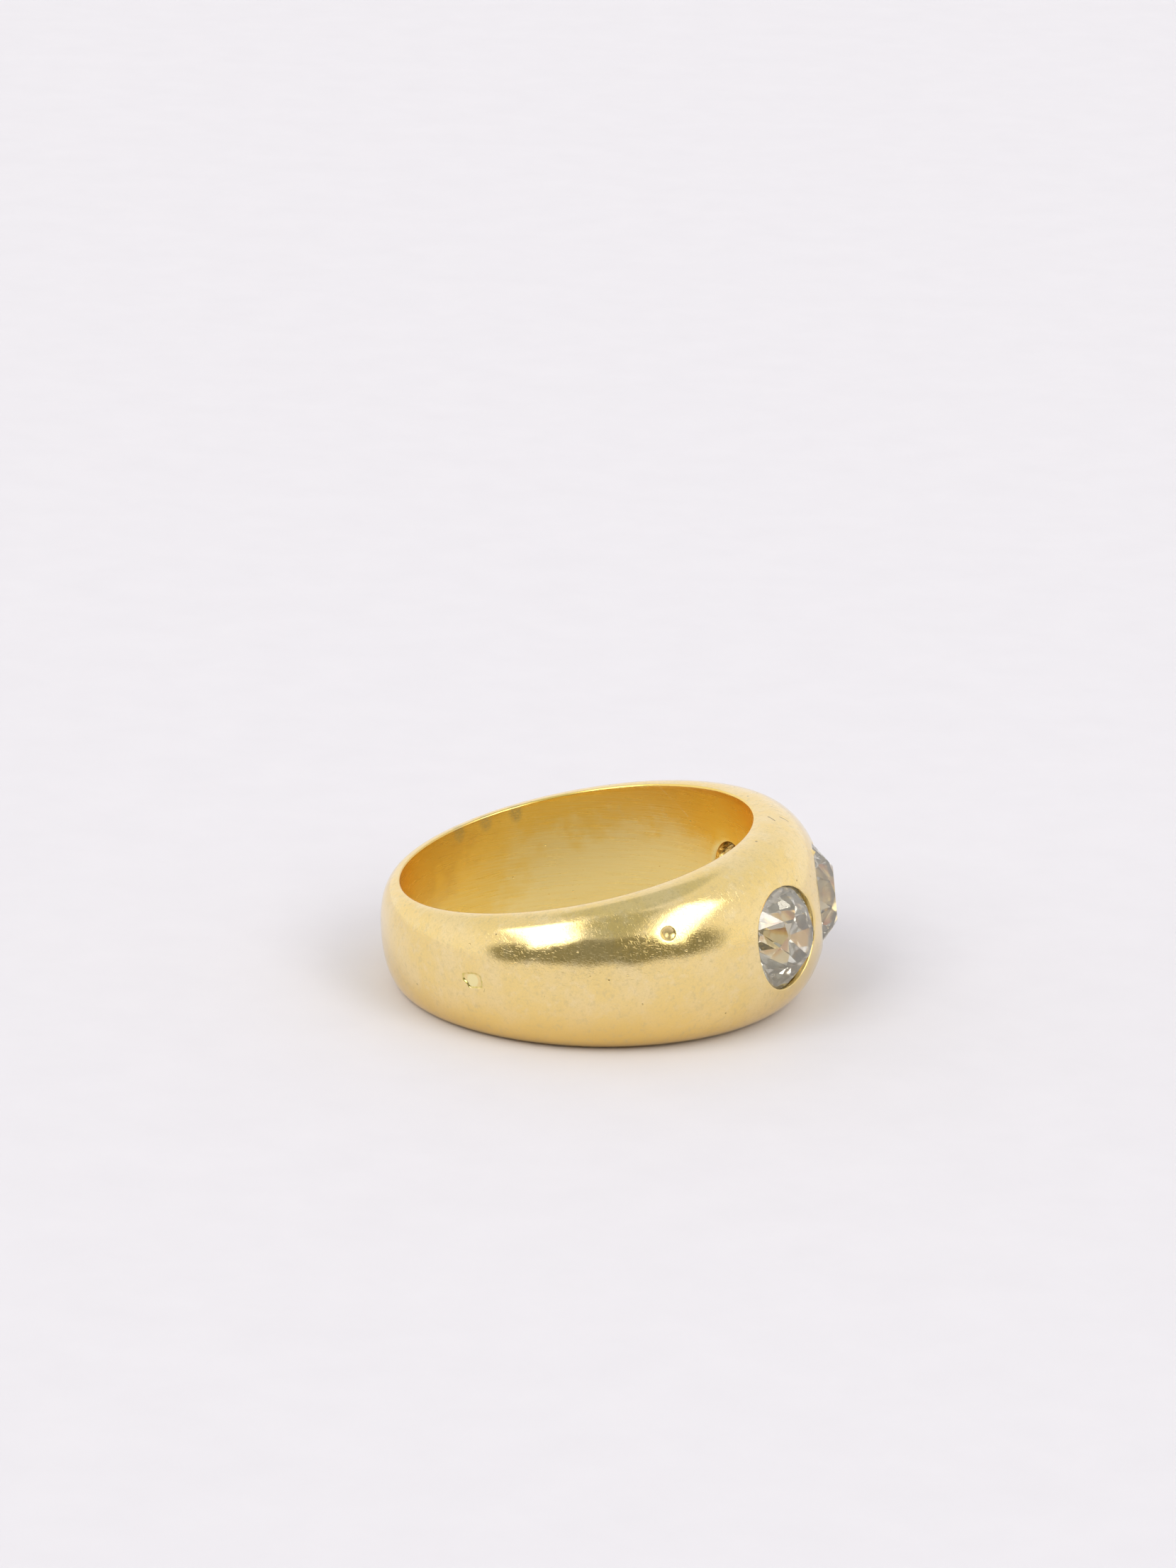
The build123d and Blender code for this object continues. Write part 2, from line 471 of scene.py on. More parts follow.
# The last two values of a seat are its lip's rounding at the ends and the sides, and the
# grains raised beside it as (bearing, distance, height, width).
SEATS = [
    Seat(-STONE_SPREAD, SIDE_STONE_R, SIDE_OFF_ROUND, (0.05, 0.13), [(0.0, 2.70, 0.08, 0.10)]),
    Seat(0.0, CENTRE_STONE_R, CENTRE_OFF_ROUND, (0.10, 0.13), [(-0.35, 2.78, 0.14, 0.09)]),
    Seat(STONE_SPREAD, SIDE_STONE_R, FAR_OFF_ROUND, (0.05, 0.12), [(0.4, 2.68, 0.06, 0.12)]),
]
STONES = dict(zip(("side_diamond_left", "centre_diamond", "side_diamond_right"), SEATS))

# Marks in the dome: (degrees round the ring, share of the rim's height), rounded from the
# photograph, and their profiles from the border inward as (share of the radius, depth).
DIMPLE = (-67, 0.56)
DIMPLE_R = 0.33
DIMPLE_PROFILE = [
    (1.3, 0.0), (1.15, 0.005), (1.0, 0.025), (0.86, 0.062),
    (0.7, 0.10), (0.5, 0.135), (0.32, 0.152), (0.15, 0.16),
]
PUNCH = (-120, 0.07)
PUNCH_PROFILE = [
    (1.3, 0.0), (1.08, -0.008), (1.0, 0.0), (0.93, 0.022),
    (0.82, 0.052), (0.6, 0.058), (0.3, 0.045),
]
PUNCH_HALF_ROUND = 0.55     # half its length round the ring
PUNCH_HALF_ALONG = 0.40     # half its length along the finger
PUNCH_CORNER = -130         # degrees, the bearing of its lost corner
PUNCH_CORNER_CUT = 0.40     # from its middle to that corner's worn edge
PUNCH_REACH = 0.60          # no part of it is further from its middle


def round_dimple(bearing):
    """Outline of the dimple."""
    return np.full(np.shape(bearing), DIMPLE_R)


def worn_punch(bearing):
    """Outline of the blank mark: a worn rectangle that has lost its lower left corner."""
    sides = np.abs(np.sin(bearing)) / PUNCH_HALF_ROUND
    ends = np.abs(np.cos(bearing)) / PUNCH_HALF_ALONG
    corner = PUNCH_CORNER_CUT / np.maximum(np.cos(bearing - math.radians(PUNCH_CORNER)), 0.05)
    worn = np.minimum(np.minimum(1 / np.maximum(sides, ends), corner), PUNCH_REACH)
    return worn * (1 + 0.05 * np.sin(4 * bearing + 0.5))


def smooth_faces(mesh):
    """Turns every face outward and shades it smooth, except across sharp edges."""
    work = bmesh.new()
    work.from_mesh(mesh)
    bmesh.ops.recalc_face_normals(work, faces=work.faces)
    for edge in work.edges:
        edge.smooth = len(edge.link_faces) == 2 and edge.calc_face_angle() < SHARP_EDGE
    for face in work.faces:
        face.smooth = True
    work.to_mesh(mesh)
    work.free()


def build_band():
    """The gold band, as one closed mesh with its seats, openings and marks."""
    columns = band_columns()
    points, square_top, bore_bottom = band_grid(columns)
    grid = GridMesh(points)
    bearings = square_bearings(PATCH)
    for number, seat in enumerate(SEATS):
        first = number * PATCH
        outer = grid.cut(first, first + PATCH, square_top, square_top + PATCH)
        inner = grid.cut(first, first + PATCH, bore_bottom + PATCH, bore_bottom)
        rings = lip_rings(seat, bearings, grid.place(outer))
        rings += bearing_rings(seat, bearings)
        rings += azure_rings(seat, bearings, grid.place(inner))
        grid.join(grid.rings(outer, rings), inner)
    sink(grid, columns, DIMPLE, round_dimple, DIMPLE_PROFILE)
    sink(grid, columns, PUNCH, worn_punch, PUNCH_PROFILE)
    mesh = grid.build("gold_band")
    smooth_faces(mesh)
    band = bpy.data.objects.new("gold_band", mesh)
    bpy.context.scene.collection.objects.link(band)
    return band


# --- Node helpers -------------------------------------------------------------

class Tree:
    """Short ways to write shader nodes. A value is a number, a colour or a socket."""

    def __init__(self, tree):
        self.tree = tree
        tree.nodes.clear()

    def add(self, kind, inputs=None, **settings):
        """A new node with its settings and the values of its inputs."""
        node = self.tree.nodes.new(kind)
        for key, value in settings.items():
            setattr(node, key, value)
        for key, value in (inputs or {}).items():
            self.set(node.inputs[key], value)
        return node

    def set(self, socket, value):
        """Links a socket to another, or gives it a number, a place or a colour."""
        if isinstance(value, bpy.types.NodeSocket):
            self.tree.links.new(value, socket)
        elif hasattr(value, "__len__") and len(value) == 3 and socket.type == "RGBA":
            socket.default_value = (*value, 1.0)
        else:
            socket.default_value = value

    def math(self, operation, *values, clamp=False):
        node = self.add("ShaderNodeMath", dict(enumerate(values)), operation=operation)
        node.use_clamp = clamp
        return node.outputs[0]

    def plus(self, one, other):
        return self.math("ADD", one, other)

    def minus(self, one, other):
        return self.math("SUBTRACT", one, other)

    def times(self, one, other):
        return self.math("MULTIPLY", one, other)

    def vector(self, operation, one, other, output=0):
        node = self.add("ShaderNodeVectorMath", {0: one, 1: other}, operation=operation)
        return node.outputs[output]

    def dot(self, vector, direction):
        return self.vector("DOT_PRODUCT", vector, direction, "Value")

    def distance(self, one, other):
        return self.vector("DISTANCE", one, other, "Value")

    def stretch(self, vector, x, y, z):
        return self.vector("MULTIPLY", vector, (x, y, z))

    def scaled(self, vector, size):
        inputs = {0: vector, "Scale": size}
        return self.add("ShaderNodeVectorMath", inputs, operation="SCALE").outputs[0]

    def split(self, vector):
        """The x, y and z of a vector."""
        return self.add("ShaderNodeSeparateXYZ", {0: vector}).outputs

    def millimetres(self):
        """The place on the object, in millimetres."""
        place = self.add("ShaderNodeTexCoord").outputs["Object"]
        return self.stretch(place, 1 / MM, 1 / MM, 1 / MM)

    def step(self, value, low, high, out_low=0.0, out_high=1.0):
        """Smoothly from out_low to out_high as value goes from low to high."""
        inputs = {"Value": value, "From Min": low, "From Max": high}
        inputs.update({"To Min": out_low, "To Max": out_high})
        node = self.add("ShaderNodeMapRange", inputs, interpolation_type="SMOOTHSTEP")
        return node.outputs["Result"]

    def window(self, value, low, high, soft):
        """One between low and high, falling to nothing over soft beyond each."""
        rise = self.step(value, low - soft, low + soft)
        fall = self.step(value, high - soft, high + soft, 1.0, 0.0)
        return self.times(rise, fall)

    def mix(self, share, one, other):
        """A colour between one and other. The colour sockets of this node are 6 and 7."""
        node = self.add("ShaderNodeMix", {0: share, 6: one, 7: other}, data_type="RGBA")
        return node.outputs[2]

    def lerp(self, share, one, other):
        """A number between one and other."""
        return self.plus(one, self.times(share, self.minus(other, one)))

    def length(self, one, other):
        """Length of the diagonal of two sides."""
        return self.math("SQRT", self.plus(self.times(one, one), self.times(other, other)))

    def noise(self, vector, scale, detail=3.0, roughness=0.5):
        inputs = {"Vector": vector, "Scale": scale, "Detail": detail, "Roughness": roughness}
        return self.add("ShaderNodeTexNoise", inputs).outputs["Fac"]

    def spot(self, point, centre, radius, soft):
        """One within radius of a place, falling to nothing over soft."""
        return self.step(self.distance(point, centre), radius, radius + soft, 1.0, 0.0)

    def stroke(self, point, start, end, width):
        """One along the straight line between two places, as wide as width."""
        start, run = Vector(start), Vector(end) - Vector(start)
        offset = self.vector("SUBTRACT", point, tuple(start))
        share = self.math("ADD", self.dot(offset, tuple(run / run.length_squared)), 0.0, clamp=True)
        far = self.distance(offset, self.scaled(tuple(run), share))
        return self.step(far, width * 0.3, width, 1.0, 0.0)

    def finish(self, shader):
        """Makes a shader the material's surface."""
        self.add("ShaderNodeOutputMaterial", {"Surface": shader.outputs[0]})


def new_material(name):
    material = bpy.data.materials.new(name)
    material.use_nodes = True
    return material, Tree(material.node_tree)


# --- Gold ----------------------------------------------------------------------

GOLD = (0.935, 0.737, 0.362)
GOLD_WARM = (0.935, 0.707, 0.283)
GOLD_PALE = (0.94, 0.775, 0.445)
# Painted reflection: the warm floor's glow, deepening the low part of the band.
GOLD_LOW_PAINTED_REFLECTION = (0.85, 0.61, 0.205)
GOLD_DULL = (0.72, 0.57, 0.28)
# Painted shade for the dimple, mixed into its colour.
GOLD_DIMPLE_PAINTED_SHADE = (0.52, 0.41, 0.19)
GOLD_MARK = (0.95, 0.83, 0.42)
GOLD_EDGE = (0.62, 0.52, 0.12)
# The bore's gold is painted brighter than the outside's to make up for its shade. Its deeper tone towards
# the upper rim is painted reflection, and its darkest at the back is painted shade.
GOLD_INSIDE = (0.985, 0.815, 0.35)
GOLD_INSIDE_PAINTED_REFLECTION = (0.965, 0.70, 0.18)
GOLD_INSIDE_PAINTED_SHADE = (0.80, 0.55, 0.17)
GOLD_SCRATCH = (1.0, 0.93, 0.62)
TARNISH = (0.40, 0.30, 0.12)
OLIVE = (0.62, 0.52, 0.27)
GRIME = (0.60, 0.575, 0.51)

# Roughness, and what the deposit and the dimple add to it.
ROUGH_OUTSIDE = (0.08, 0.14)
ROUGH_INSIDE = (0.22, 0.28)
ROUGH_SCRATCH = 0.04
ROUGH_GRIME = 0.35
ROUGH_HOLLOW = 0.20

# Heights of the fine relief, in shares of RELIEF_MM.
RELIEF_MM = 0.010
OUTSIDE_GRAIN = 0.30
OUTSIDE_SCRATCH = -0.15
OUTSIDE_MOTTLE = 0.32
INSIDE_BRUSH = 0.34
INSIDE_GRAIN = 0.09
WORN_DEPTH = -3.0

# The small pits are scattered by a formula.
PIT_COUNT = 12
PIT_R = 0.05

# Marks rounded from the photograph: degrees round the ring and share of the rim's height.
RIM_PIT = (-23, 0.985, 0.08)
CRACKS = [((-2, 0.99), (-5, 0.97)), ((-1, 0.95), (-2, 0.90))]
BORE_MARKS = [(111 + 11 * number, 0.90) for number in range(3)]
BORE_MARK_SQUASH = 0.7
BORE_SCRATCH = ((61, 0.95), (51, 0.6))
LINE = 0.05
PUNCH_LINE = 0.085

# Where the deposit lies in a seat: heights over the girdle plane and radii from its axis.
GRIME_HEIGHTS = (-1.8, -0.10)
GRIME_RADII = (AZURE_R + 0.07, CENTRE_STONE_R)


def dome_spot(degrees, share):
    """A place on the dome, as plain numbers."""
    return tuple(float(value) for value in dome_point(math.radians(degrees), share))


def bore_spot(degrees, share):
    """A place in the bore, as plain numbers."""
    return tuple(float(value) for value in ring_point(math.radians(degrees), BORE_R, share))


def layers(tree, point, across, fine, coarse, detail=2.0, roughness=0.5):
    """Noise drawn out into thin layers, which cut a surface in long fine lines."""
    across = tuple(Vector(across).normalized())
    push = tree.scaled(across, tree.dot(point, across))
    wide = tree.scaled(point, coarse)
    drawn = tree.vector("ADD", wide, tree.scaled(push, fine - coarse))
    return tree.noise(drawn, 1.0, detail, roughness)


def scattered_pits():
    """Places of the small pits: even steps round the ring, up and down by the golden ratio."""
    golden = (math.sqrt(5) - 1) / 2
    for number in range(PIT_COUNT):
        yield 360 * number / PIT_COUNT + 7, 1.8 * (number * golden % 1) - 0.9, PIT_R


def punch_edge():
    """The corners of the blank mark's outline as places in mm on the dome."""
    crest = crest_radius(math.radians(PUNCH[0]))
    places = []
    for bearing in np.radians(range(0, 360, 30)):
        reach = float(worn_punch(bearing))
        turn = math.degrees(reach * math.sin(bearing) / crest)
        rise = reach * math.cos(bearing) / HALF_WIDTH
        places.append(dome_spot(PUNCH[0] + turn, PUNCH[1] + rise))
    return places


def grime(tree, mm):
    """Share of dull deposit on the bearings under the stones."""
    total = 0.0
    for seat in SEATS:
        height = tree.minus(tree.dot(mm, tuple(seat.outward)), float(seat.reach))
        up = tree.minus(tree.dot(mm, (0.0, 0.0, 1.0)), STONE_LIFT)
        out = tree.length(tree.dot(mm, tuple(seat.round)), up)
        low = tree.window(height, *GRIME_HEIGHTS, 0.05)
        cup = tree.window(out, *GRIME_RADII, 0.04)
        total = tree.plus(total, tree.times(low, cup))
    return total


def wear_marks(tree, mm):
    """Share of tarnish in the pits, cracks and fine specks of the band."""
    cells = tree.add("ShaderNodeTexVoronoi", {"Vector": mm, "Scale": 1.7, "Randomness": 1.0})
    chosen = tree.add("ShaderNodeSeparateColor", {"Color": cells.outputs["Color"]})
    speck = tree.step(cells.outputs["Distance"], 0.04, 0.10, 1.0, 0.0)
    speck = tree.times(speck, tree.math("GREATER_THAN", chosen.outputs[0], 0.80))
    total = tree.times(speck, 0.6)
    for degrees, share, radius in [RIM_PIT, *scattered_pits()]:
        pit = tree.spot(mm, dome_spot(degrees, share), radius * 0.5, radius * 0.6)
        total = tree.math("MAXIMUM", total, pit)
    for start, end in CRACKS:
        crack = tree.stroke(mm, dome_spot(*start), dome_spot(*end), LINE)
        total = tree.math("MAXIMUM", total, crack)
    return total


def bore_painted_reflection_and_brush(tree, mm, brush):
    """Share of the painted reflection in the bore, a deeper colour towards the upper rim and round the
    back, plus streaks of its brushed tone.
    """
    x, _, z = tree.split(mm)
    shift = tree.times(tree.minus(tree.noise(mm, 0.55, 4.0, 0.62), 0.5), 7.0)
    high = tree.step(tree.plus(z, shift), 0.9, 2.6)
    back = tree.step(tree.plus(x, shift), -2.0, -5.0)
    warm = tree.times(tree.math("MAXIMUM", high, back), 0.85)
    return tree.plus(warm, tree.step(brush, 0.35, 0.65, -0.15, 0.15))


def bore_painted_shade(tree, mm):
    """Share of the painted shade, the darkest colour, at the narrow back of the bore."""
    x, _, z = tree.split(mm)
    shift = tree.times(tree.minus(tree.noise(mm, 0.9, 4.0, 0.65), 0.5), 5.0)
    place = tree.minus(tree.plus(x, shift), tree.times(z, 0.9))
    return tree.step(place, -5.5, -9.0, 0.0, 0.8)


class GoldPatterns:
    """What the gold's colour, roughness and relief share."""

    def __init__(self, tree, mm):
        x, y, _ = tree.split(mm)
        self.inside = tree.step(tree.length(x, y), BORE_R + 0.02, BORE_R + 0.10, 1.0, 0.0)
        self.grain = tree.noise(mm, 10.0, 4.0, 0.65)
        self.clouds = tree.noise(mm, 0.42, 3.0, 0.55)
        self.mottle = tree.noise(mm, 1.9, 4.0, 0.6)
        self.brush = layers(tree, mm, (0.04, 0.02, 1.0), 11.0, 0.45, 3.0, 0.6)
        along = tree.step(layers(tree, mm, (0.25, 0.05, 1.0), 34.0, 3.2), 0.61, 0.76)
        slanted = tree.step(layers(tree, mm, (0.9, 0.3, 0.35), 30.0, 3.8), 0.61, 0.76)
        self.scratches = tree.math("MAXIMUM", along, slanted)
        # The dimple's spot, which carries its painted shade and its duller roughness.
        self.hollow = tree.spot(mm, dome_spot(*DIMPLE), 0.20, 0.16)
        self.worn = wear_marks(tree, mm)
        self.seats = grime(tree, mm)


def dome_colour(tree, mm, patterns):
    """Warm and pale clouds, a painted reflection that deepens the low part towards the back, rubbed
    patches, the blank mark, and painted shade in the dimple.
    """
    x, _, z = tree.split(mm)
    colour = tree.mix(tree.step(patterns.clouds, 0.38, 0.64), GOLD_WARM, GOLD)
    colour = tree.mix(tree.step(patterns.mottle, 0.50, 0.72, 0.0, 0.55), colour, GOLD_PALE)
    colour = tree.mix(tree.step(patterns.grain, 0.36, 0.56, 0.25, 0.0), colour, GOLD_DULL)
    # Painted reflection: a deeper, warmer tone low on the band, fading towards the front, in place of the
    # warm floor it reflects.
    low = tree.times(tree.step(z, -0.3, -3.4), tree.step(x, 1.0, 9.0, 1.0, 0.2))
    colour = tree.mix(low, colour, GOLD_LOW_PAINTED_REFLECTION)
    rub = tree.minus(tree.noise(mm, 3.2, 4.0, 0.7), 0.5)
    colour = tree.mix(tree.step(rub, 0.0, 0.20, 0.0, 0.55), colour, GOLD_DULL)
    colour = tree.mix(tree.spot(mm, dome_spot(*PUNCH), 0.28, 0.12), colour, GOLD_MARK)
    corners = punch_edge()
    for start, end in zip(corners, corners[1:] + corners[:1]):
        edge = tree.stroke(mm, start, end, PUNCH_LINE)
        colour = tree.mix(tree.times(edge, 0.5), colour, GOLD_EDGE)
    # Painted shade in the dimple, over its real hollow.
    return tree.mix(tree.times(patterns.hollow, 0.85), colour, GOLD_DIMPLE_PAINTED_SHADE)


def bore_colour(tree, mm, patterns):
    """Deeper towards the upper rim by painted reflection and darkest at the back by painted shade, over a
    gold painted brighter than the outside's to make up for the bore's shade.
    """
    colour = tree.mix(bore_painted_reflection_and_brush(tree, mm, patterns.brush), GOLD_INSIDE, GOLD_INSIDE_PAINTED_REFLECTION)
    return tree.mix(bore_painted_shade(tree, mm), colour, GOLD_INSIDE_PAINTED_SHADE)


def add_bore_marks(tree, mm, patterns, colour):
    """Three plain smudges and one bright scratch in the bore."""
    flat = tree.stretch(mm, 1, 1, BORE_MARK_SQUASH)
    patchy = tree.step(patterns.grain, 0.35, 0.6, 0.4, 1.0)
    for degrees, share in BORE_MARKS:
        x, y, z = bore_spot(degrees, share)
        mark = tree.times(tree.spot(flat, (x, y, z * BORE_MARK_SQUASH), 0.18, 0.32), patchy)
        colour = tree.mix(tree.times(mark, 0.8), colour, OLIVE)
    start, end = BORE_SCRATCH
    scratch = tree.stroke(mm, bore_spot(*start), bore_spot(*end), LINE)
    return tree.mix(tree.times(scratch, 0.5), colour, GOLD_SCRATCH)


def gold_roughness(tree, patterns):
    """Polished outside, brushed inside, dull in the seats and the dimple."""
    outside = tree.step(patterns.mottle, 0.35, 0.70, *ROUGH_OUTSIDE)
    outside = tree.plus(outside, tree.times(patterns.scratches, ROUGH_SCRATCH))
    rough = tree.lerp(patterns.inside, outside, tree.step(patterns.brush, 0.3, 0.7, *ROUGH_INSIDE))
    rough = tree.plus(rough, tree.times(patterns.seats, ROUGH_GRIME))
    return tree.plus(rough, tree.times(patterns.hollow, ROUGH_HOLLOW))


def gold_relief(tree, patterns):
    """Normals of the fine grain and scratches, and of the small worn pits."""
    outside = tree.times(patterns.grain, OUTSIDE_GRAIN)
    outside = tree.plus(outside, tree.times(patterns.mottle, OUTSIDE_MOTTLE))
    outside = tree.plus(outside, tree.times(patterns.scratches, OUTSIDE_SCRATCH))
    inside = tree.plus(tree.times(patterns.brush, INSIDE_BRUSH), tree.times(patterns.grain, INSIDE_GRAIN))
    height = tree.lerp(patterns.inside, outside, inside)
    height = tree.plus(height, tree.times(patterns.worn, WORN_DEPTH))
    inputs = {"Height": height, "Strength": 1.0, "Distance": RELIEF_MM * MM}
    return tree.add("ShaderNodeBump", inputs).outputs[0]


def gold_material():
    """Old yellow gold, polished by wear outside and brushed inside."""
    material, tree = new_material("worn_yellow_gold")
    mm = tree.millimetres()
    patterns = GoldPatterns(tree, mm)
    dome, bore = dome_colour(tree, mm, patterns), bore_colour(tree, mm, patterns)
    colour = tree.mix(patterns.inside, dome, bore)
    colour = tree.mix(patterns.worn, colour, TARNISH)
    colour = tree.mix(patterns.seats, colour, GRIME)
    colour = add_bore_marks(tree, mm, patterns, colour)
    inputs = {"Base Color": colour, "Metallic": 1.0, "Roughness": gold_roughness(tree, patterns)}
    inputs["Normal"] = gold_relief(tree, patterns)
    tree.finish(tree.add("ShaderNodeBsdfPrincipled", inputs))
    return material


# --- Diamond --------------------------------------------------------------------

DIAMOND_INDEX = 2.417
DIAMOND_TINTS = ((0.96, 0.95, 0.92), (0.94, 0.925, 0.88))
FILM_TONES = ((0.46, 0.43, 0.26), (1.0, 0.97, 0.87))
FILM_SHARE = 0.36
FILM_TOP = (-0.12, -0.07)     # heights over the girdle plane between which the film ends


def stone_film(tree, mm, seat, geometry, cloud):
    """A dull film on the pavilion and its share, thicker on some facets than on others."""
    flat = geometry.outputs["True Normal"]
    height = tree.minus(tree.dot(mm, tuple(seat.outward)), float(seat.reach))
    pavilion = tree.step(height, *FILM_TOP, 1.0, 0.0)
    behind = tree.times(pavilion, geometry.outputs["Backfacing"])
    tone = tree.plus(tree.noise(flat, 2.6, 1.0, 0.5), tree.times(tree.minus(cloud, 0.5), 0.25))
    colour = tree.mix(tree.step(tone, 0.36, 0.60), *FILM_TONES)
    film = tree.add("ShaderNodeBsdfDiffuse", {"Color": colour, "Normal": flat})
    return film, tree.times(behind, FILM_SHARE)


def diamond_material(name, seat):
    """Old-cut stone: crisp flat facets over a pavilion dulled by a thin film."""
    material, tree = new_material("old_cut_" + name)
    mm = tree.millimetres()
    geometry = tree.add("ShaderNodeNewGeometry")
    cloud = tree.noise(mm, 1.4, 3.0, 0.6)
    tint = tree.mix(tree.step(cloud, 0.4, 0.7), *DIAMOND_TINTS)
    wear = tree.step(tree.noise(mm, 8.0, 4.0, 0.6), 0.5, 0.8, 0.0, 0.02)
    inputs = {"Color": tint, "Roughness": wear, "IOR": DIAMOND_INDEX}
    inputs["Normal"] = geometry.outputs["True Normal"]
    glass = tree.add("ShaderNodeBsdfGlass", inputs)
    film, share = stone_film(tree, mm, seat, geometry, cloud)
    inputs = {0: share, 1: glass.outputs[0], 2: film.outputs[0]}
    tree.finish(tree.add("ShaderNodeMixShader", inputs))
    return material


# --- Floor ----------------------------------------------------------------------

REST = Vector((RIM_SLOPE, 0.0, 1.0)).normalized()
FLOOR_DARK = (0.735, 0.72, 0.77)
FLOOR_LIGHT = (0.775, 0.76, 0.81)
FLOOR_ROUGHNESS = 0.85
FLOOR_REACH = 1500.0
FLOOR_GAP = 0.012     # keeps the floor clear of the rim


def floor_material():
    """A plain pale surface with a faint even mottle."""
    material, tree = new_material("plain_pale_floor")
    colour = tree.mix(tree.noise(tree.millimetres(), 0.25, 3.0, 0.6), FLOOR_DARK, FLOOR_LIGHT)
    inputs = {"Base Color": colour, "Roughness": FLOOR_ROUGHNESS, "Specular IOR Level": 0.25}
    tree.finish(tree.add("ShaderNodeBsdfPrincipled", inputs))
    return material


def build_floor():
    """A wide flat sheet just under the rim that the ring rests on."""
    mesh = bpy.data.meshes.new("floor")
    reach = FLOOR_REACH * MM
    corners = [(-reach, -reach, 0), (reach, -reach, 0), (reach, reach, 0), (-reach, reach, 0)]
    mesh.from_pydata(corners, [], [(0, 1, 2, 3)])
    mesh.materials.append(floor_material())
    floor = bpy.data.objects.new("floor", mesh)
    bpy.context.scene.collection.objects.link(floor)
    lean = Vector((0, 0, 1)).rotation_difference(REST).to_matrix().to_4x4()
    floor.matrix_world = Matrix.Translation(Vector((0, 0, -HALF_WIDTH - FLOOR_GAP)) * MM) @ lean


# --- Light ----------------------------------------------------------------------

# The screen, boxes and dark oval stand roughly where the photograph's dome reflects grey,
# bright and dark. Only the soft boxes are brighter than one.
WALL = (0.99, 0.97, 0.98)
WALL_HIGH = (0.87, 0.865, 0.875)
SCREEN = (0.62, 0.635, 0.60)
GAP = (0.50, 0.51, 0.45)
CAMERA_SIDE = (0.27, 0.265, 0.215)
SOFT_BOX = (4.0, 3.9, 3.7)

WALL_LEVELS = (10, 55)     # degrees above the floor, between the low and the high wall
# Overhead places are (u, v): degrees from straight up towards +X and +Y.
SCREEN_MIDDLE = (0.0, 14.0)
SCREEN_REACH = (17.0, 29.0)
SCREEN_EDGE = 0.08
BOX_V = (-60, -15)
BOX_LEFT_U = (-46, -17)
BOX_RIGHT_U = (27, 50)
GAP_U = (-9, 18)
BOX_SOFT = 3.0
# The dark oval behind the camera, as bearing and level in degrees.
CAMERA_SIDE_MIDDLE = (-90.0, 8.0)
CAMERA_SIDE_REACH = (62.0, 21.0)
CAMERA_SIDE_EDGE = 0.10


def oval(tree, one, other, middle, reach, edge):
    """One inside an oval of two values, with a soft edge."""
    across = tree.math("DIVIDE", tree.minus(one, middle[0]), reach[0])
    along = tree.math("DIVIDE", tree.minus(other, middle[1]), reach[1])
    return tree.step(tree.length(across, along), 1.0 - edge, 1.0 + edge, 1.0, 0.0)


def panel(tree, u, v, u_span):
    """One inside an overhead panel as deep as the soft boxes, with soft edges."""
    return tree.times(tree.window(u, *u_span, BOX_SOFT), tree.window(v, *BOX_V, BOX_SOFT))


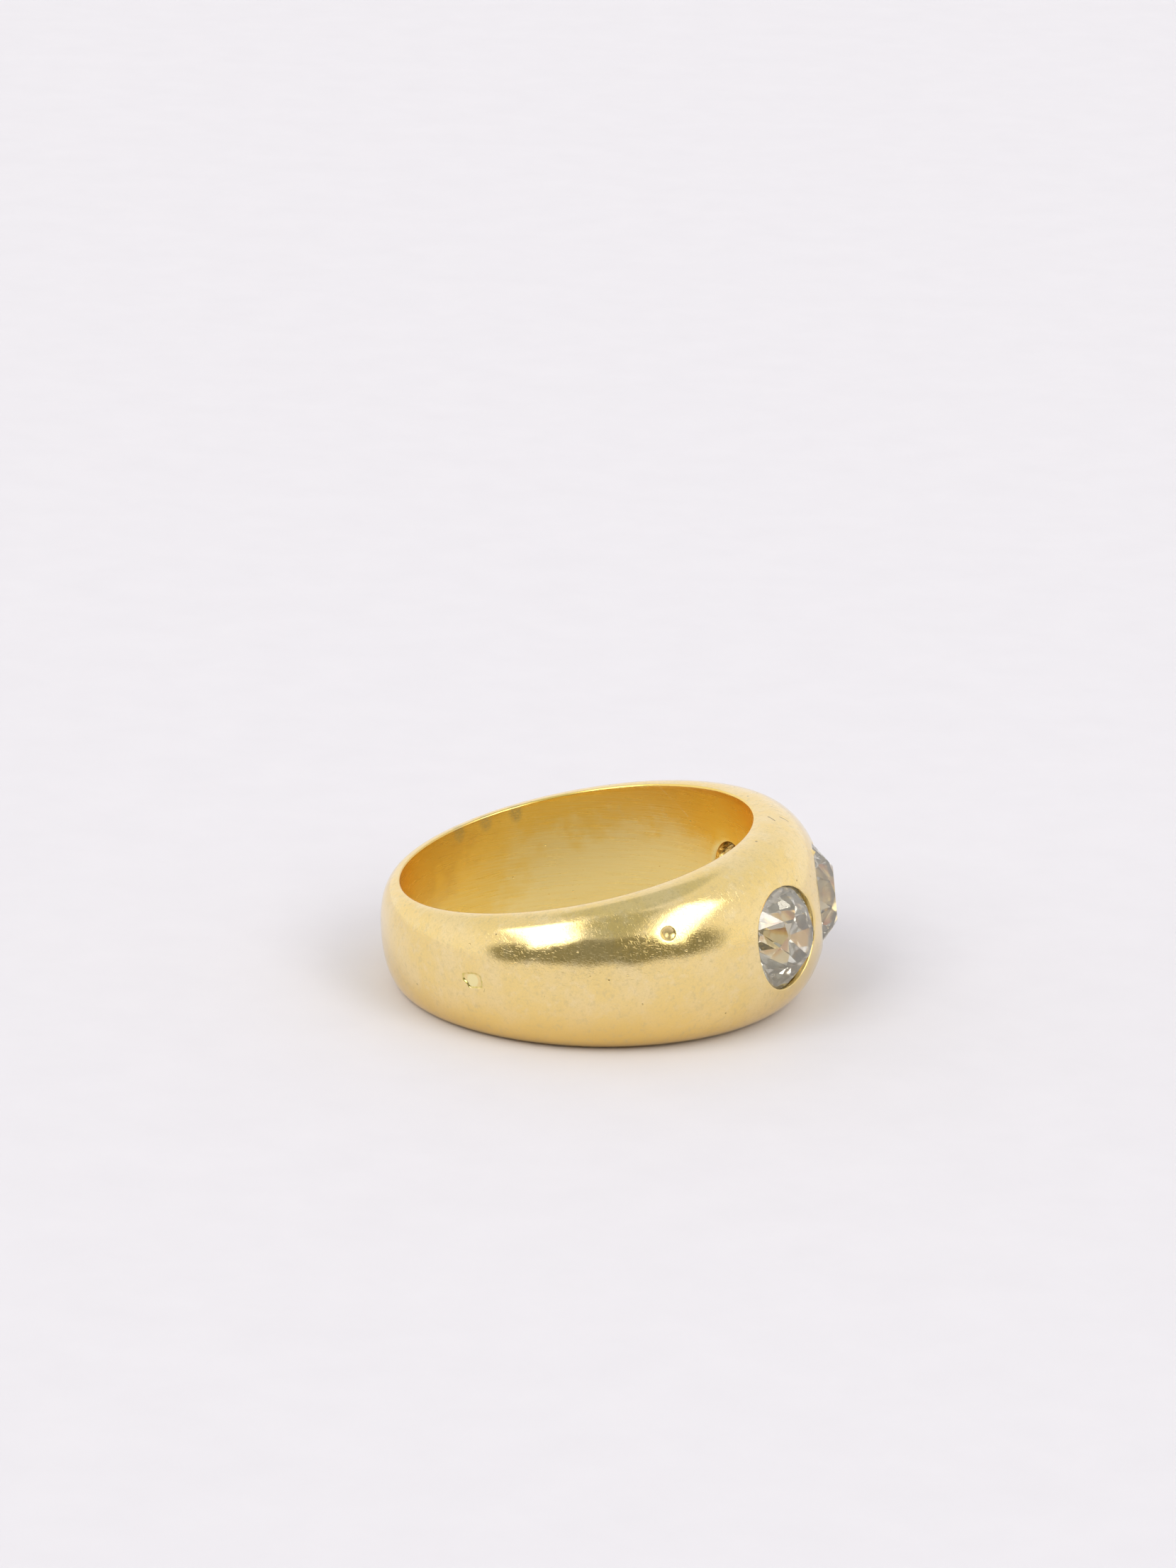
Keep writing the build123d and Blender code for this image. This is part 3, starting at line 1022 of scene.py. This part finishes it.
def build_world():
    """A plain light tent: pale walls, a grey screen overhead and a soft box on either
    side of the dark camera side."""
    world = bpy.data.worlds.new("light_tent")
    bpy.context.scene.world = world
    world.use_nodes = True
    tree = Tree(world.node_tree)
    ray = tree.add("ShaderNodeTexCoord").outputs["Generated"]
    degree = 180 / math.pi
    level = tree.times(tree.math("ARCSINE", tree.dot(ray, REST)), degree)
    x, y, _ = tree.split(ray)
    turn = tree.math("ARCTAN2", y, x)
    from_top = tree.minus(90.0, level)
    u = tree.times(from_top, tree.math("COSINE", turn))
    v = tree.times(from_top, tree.math("SINE", turn))
    screen = oval(tree, u, v, SCREEN_MIDDLE, SCREEN_REACH, SCREEN_EDGE)
    bearing = tree.times(turn, degree)
    camera_side = oval(tree, bearing, level, CAMERA_SIDE_MIDDLE, CAMERA_SIDE_REACH, CAMERA_SIDE_EDGE)

    colour = tree.mix(tree.step(level, *WALL_LEVELS), WALL, WALL_HIGH)
    colour = tree.mix(screen, colour, SCREEN)
    colour = tree.mix(panel(tree, u, v, GAP_U), colour, GAP)
    colour = tree.mix(camera_side, colour, CAMERA_SIDE)
    for span in (BOX_LEFT_U, BOX_RIGHT_U):
        colour = tree.mix(panel(tree, u, v, span), colour, SOFT_BOX)
    shader = tree.add("ShaderNodeBackground", {"Color": colour, "Strength": 1.0})
    tree.add("ShaderNodeOutputWorld", {"Surface": shader.outputs[0]})


# --- Camera -----------------------------------------------------------------------

# The photograph's view, found by fitting the bore's rim and the band's outline to it.
CAMERA_AIM = (0.8, 2.2, 6.2)
CAMERA_BEARING = math.radians(-88.5)
CAMERA_LEVEL = math.radians(17.8)
CAMERA_ROLL = math.radians(-4.7)
CAMERA_DISTANCE = 323.0
CAMERA_LENS = 146.5
SENSOR = 36.0
NEAR_CLIP = 0.01     # metres


def build_camera():
    """Looks at the ring from its side, a little above, with the ring low in the frame."""
    camera = bpy.data.objects.new("camera", bpy.data.cameras.new("camera"))
    bpy.context.scene.collection.objects.link(camera)
    level, bearing = math.cos(CAMERA_LEVEL), CAMERA_BEARING
    back = Vector((level * math.cos(bearing), level * math.sin(bearing), math.sin(CAMERA_LEVEL)))
    turn = (-back).to_track_quat("-Z", "Y").to_matrix().to_4x4()
    place = (Vector(CAMERA_AIM) + back * CAMERA_DISTANCE) * MM
    camera.matrix_world = Matrix.Translation(place) @ turn @ Matrix.Rotation(CAMERA_ROLL, 4, "Z")
    camera.data.sensor_fit = "VERTICAL"
    camera.data.sensor_height = SENSOR
    camera.data.lens = CAMERA_LENS
    camera.data.clip_start = NEAR_CLIP
    bpy.context.scene.camera = camera


def build_ring():
    """Puts the drawn band over the CAD band and gives the CAD stones their material."""
    band = build_band()
    band.data.materials.append(gold_material())
    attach(band, "root")
    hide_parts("band")
    for name, seat in STONES.items():
        stone = frame["nodes"][name]
        stone.data.materials.clear()
        stone.data.materials.append(diamond_material(name, seat))


def set_light_paths():
    """Light crosses a diamond many times before it leaves."""
    cycles = bpy.context.scene.cycles
    cycles.max_bounces = 24
    cycles.glossy_bounces = 20
    cycles.transmission_bounces = 20


bpy.context.scene.view_settings.view_transform = "Standard"
set_light_paths()
build_ring()
build_floor()
build_world()
build_camera()
